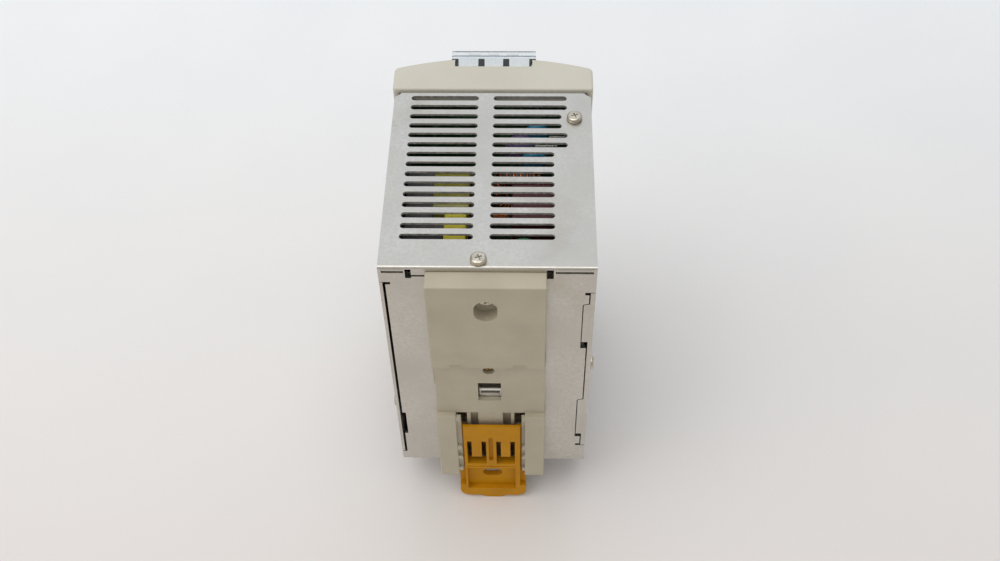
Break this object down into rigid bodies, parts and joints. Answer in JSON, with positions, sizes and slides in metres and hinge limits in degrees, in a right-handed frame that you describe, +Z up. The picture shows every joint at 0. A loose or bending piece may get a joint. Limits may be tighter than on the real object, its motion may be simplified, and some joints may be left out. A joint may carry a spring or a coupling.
{
  "type": "din rail power supply",
  "caption": "Metal-cased power supply for a DIN rail: vented folded sheet case, convex moulded front with covered screw terminals, hook bracket and sliding rail lock on the rear.",
  "frame": {"origin": "on the plane that the back of the rail rests against, at the centreline of the 35 mm rail and the middle of the case width", "axes": "+Y from the case towards the rail, so the front faces -Y; +Z up as mounted on a wall rail; X across the unit"},
  "size_m": [0.079, 0.1179, 0.1456],
  "materials": {
    "zinc_sheet": "satin zinc-plated sheet",
    "zinc_screw": "bright zinc",
    "yellow_screw": "yellow passivated",
    "terminal_metal": "bright zinc",
    "bezel_plastic": "fine moulded texture, beige",
    "clip_plastic": "fine moulded texture, darker beige",
    "slider_plastic": "moulded, ochre",
    "black_plastic": "moulded",
    "clear_plastic": "clear moulded",
    "green_lens": "clear green",
    "red_lens": "clear red",
    "trimmer_plastic": "moulded, blue",
    "trimmer_rotor_plastic": "moulded, white",
    "board_laminate": "glass-epoxy laminate with solder resist",
    "standoff_brass": "turned",
    "insulating_film": "thin film",
    "ferrite": "ground ferrite",
    "yellow_tape": "polyester tape",
    "capacitor_sleeve": "shrink sleeve",
    "red_film_case": "dipped, dark red",
    "yellow_film_case": "moulded box, yellow",
    "blue_disc": "dipped, blue",
    "copper_wire": "enamelled copper wire",
    "heatsink_aluminium": "extruded",
    "device_package": "moulded epoxy",
    "violet_disc": "dipped, violet",
    "green_disc": "dipped, green",
    "fuse_glass": "glass tube"
  },
  "bodies": {
    "housing": {"alarm_lamp": "red_lens", "bracket_screw_lower": "yellow_screw", "bracket_screw_upper": "zinc_screw", "bulk_capacitor": "capacitor_sleeve", "case_sheet": "zinc_sheet", "choke_core": "ferrite", "choke_winding": "copper_wire", "film_capacitor": "red_film_case", "filter_board": "board_laminate", "filter_standoff_1": "standoff_brass", "filter_standoff_2": "standoff_brass", "front_bezel": "bezel_plastic", "front_board": "board_laminate", "fuse": "fuse_glass", "inductor_core": "ferrite", "inductor_winding": "copper_wire", "input_terminal_block": "black_plastic", "input_terminal_screw_1": "terminal_metal", "input_terminal_screw_2": "terminal_metal", "input_terminal_screw_3": "terminal_metal", "inrush_relay": "device_package", "inrush_thermistor": "green_disc", "insulation_sheet": "insulating_film", "line_inductor": "copper_wire", "main_board": "board_laminate", "main_standoff_1": "standoff_brass", "main_standoff_2": "standoff_brass", "main_standoff_3": "standoff_brass", "main_standoff_4": "standoff_brass", "output_capacitor_1": "capacitor_sleeve", "output_capacitor_2": "capacitor_sleeve", "output_capacitor_3": "capacitor_sleeve", "output_rectifier": "device_package", "output_terminal_block": "black_plastic", "output_terminal_screw_1": "terminal_metal", "output_terminal_screw_2": "terminal_metal", "output_terminal_screw_3": "terminal_metal", "output_terminal_screw_4": "terminal_metal", "power_lamp": "green_lens", "primary_heatsink": "heatsink_aluminium", "rail_bracket": "clip_plastic", "secondary_heatsink": "heatsink_aluminium", "side_cover_left": "zinc_sheet", "side_cover_right": "zinc_sheet", "side_screw_left": "zinc_screw", "side_screw_right": "zinc_screw", "surge_suppressor": "violet_disc", "switching_transistor": "device_package", "top_screw_front": "zinc_screw", "top_screw_rear": "zinc_screw", "transformer_core": "ferrite", "transformer_winding": "yellow_tape", "trimmer_body": "trimmer_plastic", "x_capacitor": "yellow_film_case", "y_capacitor_1": "blue_disc", "y_capacitor_2": "blue_disc"},
    "slider": {"rail_slider": "slider_plastic"},
    "input_cover": {"input_terminal_cover": "clear_plastic"},
    "output_cover": {"output_terminal_cover": "clear_plastic"},
    "trimmer": {"trimmer_rotor": "trimmer_rotor_plastic"}
  },
  "joints": [
    {"name": "rail_slider_slide", "type": "slide", "parent": "housing", "child": "slider", "axis": [0, 0, 1], "range_m": [0, 0.0072]},
    {"name": "input_cover_hinge", "type": "hinge", "parent": "housing", "child": "input_cover", "pos_m": [0, -0.1128, 0.043], "axis": [1, 0, 0], "range_deg": [0, 110]},
    {"name": "output_cover_hinge", "type": "hinge", "parent": "housing", "child": "output_cover", "pos_m": [0, -0.1128, -0.04], "axis": [-1, 0, 0], "range_deg": [0, 110]},
    {"name": "trimmer_turn", "type": "hinge", "parent": "housing", "child": "trimmer", "pos_m": [0.022, -0.1037, -0.012], "axis": [0, -1, 0], "range_deg": [-135, 135]}
  ]
}
